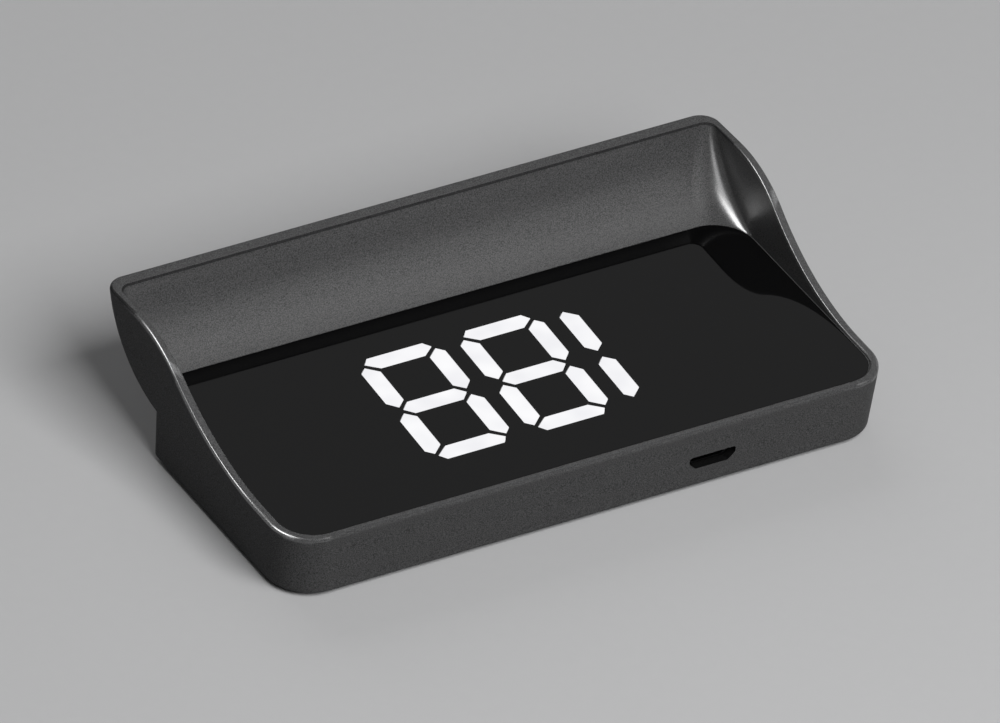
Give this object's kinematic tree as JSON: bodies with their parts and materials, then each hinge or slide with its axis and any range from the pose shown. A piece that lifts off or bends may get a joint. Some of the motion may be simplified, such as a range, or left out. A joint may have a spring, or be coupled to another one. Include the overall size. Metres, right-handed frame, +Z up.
{
  "type": "dashboard speed display",
  "caption": "Low hooded dashboard speed display: a wedge-shaped case with a dark window, lit seven-segment figures, a front charging socket and a side thumb dial.",
  "frame": {"origin": "centre of the grip pad, on the surface that the pad rests on", "axes": "+X along the case's width, to the right of a reader at the front; +Y from the low front edge towards the hood; +Z up"},
  "size_m": [0.0992, 0.0538, 0.0211],
  "materials": {
    "case_plastic": "fine spark-eroded grain",
    "cover_plastic": "fine grain",
    "pad_rubber": "tacky silicone",
    "window_black": "polished smoked acrylic",
    "adhesive_film": "double-sided film",
    "lit_figure": "glowing white diffuser",
    "reflector_white": "white moulding",
    "foam_black": "closed-cell foam",
    "led_package": "phosphor cap",
    "board_laminate": "solder mask",
    "screw_steel": "zinc plated",
    "chip_black": "moulded epoxy",
    "tinned_metal": "tinned",
    "ferrite_grey": "sintered",
    "ceramic_tan": "fired ceramic",
    "silver_plate": "silver plated",
    "buzzer_plastic": "moulded",
    "clear_plastic": "clear moulding",
    "socket_steel": "nickel plated",
    "tongue_black": "moulded",
    "contact_brass": "gold flashed",
    "battery_foil": "laminated foil",
    "wire_red": "extruded insulation",
    "wire_black": "extruded insulation",
    "connector_nylon": "moulded nylon",
    "silicon_blue": "coated silicon",
    "dial_plastic": "satin moulding",
    "switch_black": "moulded",
    "spring_steel": "drawn wire"
  },
  "bodies": {
    "case": {"upper_shell": "case_plastic", "bottom_cover": "cover_plastic", "case_screws": "screw_steel", "grip_pad": "pad_rubber", "display_window": "window_black", "window_adhesive": "adhesive_film", "left_figure_lights": "lit_figure", "middle_figure_lights": "lit_figure", "hundreds_figure_lights": "lit_figure", "reflector_block": "reflector_white", "display_gasket": "foam_black", "segment_leds": "led_package", "main_board": "board_laminate", "board_screws": "screw_steel", "controller_chip": "chip_black", "led_driver_chip": "chip_black", "driver_chip_legs": "tinned_metal", "charger_chip": "chip_black", "power_inductor": "ferrite_grey", "clock_crystal": "tinned_metal", "board_resistors": "ferrite_grey", "board_capacitors": "ceramic_tan", "gps_receiver_can": "tinned_metal", "gps_patch_antenna": "ceramic_tan", "gps_antenna_plating": "silver_plate", "gps_backup_cell": "tinned_metal", "alarm_buzzer": "buzzer_plastic", "light_sensor": "clear_plastic", "light_guide": "clear_plastic", "usb_socket_shell": "socket_steel", "usb_socket_tongue": "tongue_black", "usb_socket_contacts": "contact_brass", "battery_cell": "battery_foil", "battery_foam": "foam_black", "battery_lead_red": "wire_red", "battery_lead_black": "wire_black", "battery_plug": "connector_nylon", "battery_socket": "connector_nylon", "solar_cell": "silicon_blue", "solar_busbars": "silver_plate", "solar_leads": "wire_red", "dial_spring": "spring_steel", "dial_switch_base": "switch_black", "dial_switch_contacts": "contact_brass"},
    "dial_slide": {"dial_carriage": "connector_nylon", "dial_axle": "spring_steel"},
    "dial": {"mode_dial": "dial_plastic"}
  },
  "joints": [
    {"name": "dial_press", "type": "slide", "parent": "case", "child": "dial_slide", "axis": [-1, 0, 0], "range_m": [0, 0.0005], "stiffness_N_per_m": 800, "springref_m": -0.0004, "deforming": ["dial_spring"]},
    {"name": "dial_turn", "type": "hinge", "parent": "dial_slide", "child": "dial", "pos_m": [0.04452, -0.006, 0.0052], "axis": [0, 0, 1], "range_deg": [-15, 15], "stiffness_Nm_per_rad": 0.012}
  ]
}
